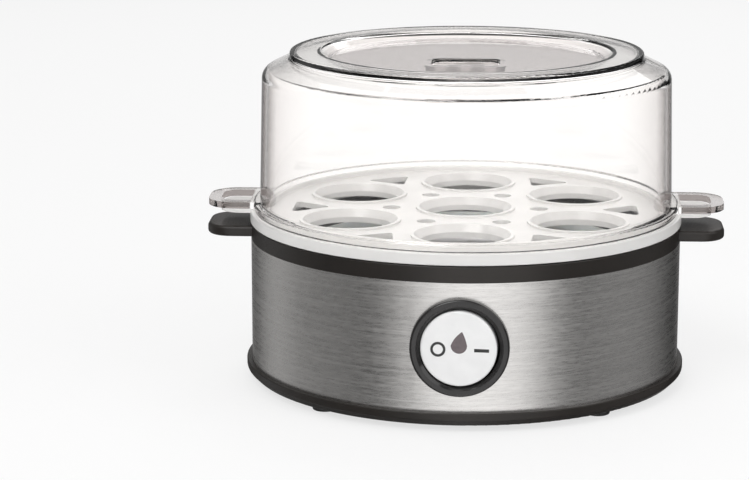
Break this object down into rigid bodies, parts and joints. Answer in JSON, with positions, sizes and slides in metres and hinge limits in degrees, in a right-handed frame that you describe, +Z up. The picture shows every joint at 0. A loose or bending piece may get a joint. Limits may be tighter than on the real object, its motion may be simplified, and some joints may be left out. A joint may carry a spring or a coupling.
{
  "type": "egg boiler",
  "caption": "Round steel-banded egg steamer with a rocker switch, a lift-off seat tray with flat ears and a tall clear lid with looped handles and a slotted vent.",
  "frame": {"origin": "on the floor under the centre of the round housing", "axes": "+Z up along the housing's axis, -Y towards the switch, +X towards the right ear"},
  "size_m": [0.192, 0.1675, 0.1226],
  "materials": {
    "black_plastic": "satin moulded plastic",
    "gloss_black": "gloss moulded plastic",
    "foot_rubber": "matt",
    "gasket_silicone": "matt",
    "band_steel": "brushed round the housing",
    "screw_steel": "zinc plated",
    "plate_metal": "satin",
    "contact_brass": "plain",
    "brown_plastic": "matt",
    "white_plastic": "gloss",
    "lens_plastic": "tinted, unlit",
    "lamp_glass": "clear",
    "brown_sleeve": "matt",
    "white_sleeve": "matt",
    "blue_sleeve": "matt",
    "green_sleeve": "matt",
    "tray_plastic": "translucent, polished",
    "clear_plastic": "clear, polished"
  },
  "bodies": {
    "base": {"base_pan": "black_plastic", "rubber_feet": "foot_rubber", "housing_screws": "screw_steel", "outer_band": "band_steel", "top_collar": "black_plastic", "plate_gasket": "gasket_silicone", "heating_plate": "plate_metal", "plate_clips": "screw_steel", "clip_screws": "screw_steel", "heating_element": "plate_metal", "element_terminals": "screw_steel", "thermostat": "brown_plastic", "thermostat_bracket": "screw_steel", "bracket_nuts": "screw_steel", "earth_tag": "contact_brass", "thermal_fuse": "plate_metal", "fuse_clip": "screw_steel", "switch_bezel": "gloss_black", "switch_housing": "black_plastic", "switch_terminals": "contact_brass", "terminal_block": "white_plastic", "terminal_screws": "contact_brass", "cord_gland": "black_plastic", "cord_clamp": "black_plastic", "clamp_screws": "screw_steel", "live_lead": "brown_sleeve", "switched_lead": "brown_sleeve", "fuse_lead": "white_sleeve", "element_lead": "white_sleeve", "neutral_lead": "blue_sleeve", "earth_lead": "green_sleeve"},
    "tray": {"egg_tray": "tray_plastic"},
    "lid": {"lid": "clear_plastic"},
    "rocker": {"rocker_cap": "white_plastic", "indicator_lens": "lens_plastic", "indicator_lamp": "lamp_glass", "plunger": "white_plastic", "plunger_spring": "screw_steel"},
    "contact": {"contact_lever": "contact_brass"}
  },
  "joints": [
    {"name": "tray_lift", "type": "slide", "parent": "base", "child": "tray", "axis": [0, 0, 1], "range_m": [0, 0.12]},
    {"name": "lid_lift", "type": "slide", "parent": "tray", "child": "lid", "axis": [0, 0, 1], "range_m": [0, 0.1]},
    {"name": "rocker_tilt", "type": "hinge", "parent": "base", "child": "rocker", "pos_m": [0, -0.078, 0.0305], "axis": [0, 0, 1], "range_deg": [0, 10]},
    {"name": "contact_tilt", "type": "hinge", "parent": "base", "child": "contact", "pos_m": [0, -0.0678, 0.0305], "axis": [0, 0, 1], "range_deg": [-8, 0]}
  ],
  "couplings": [
    {"joint": "contact_tilt", "follows": "rocker_tilt", "ratio": -0.8}
  ]
}
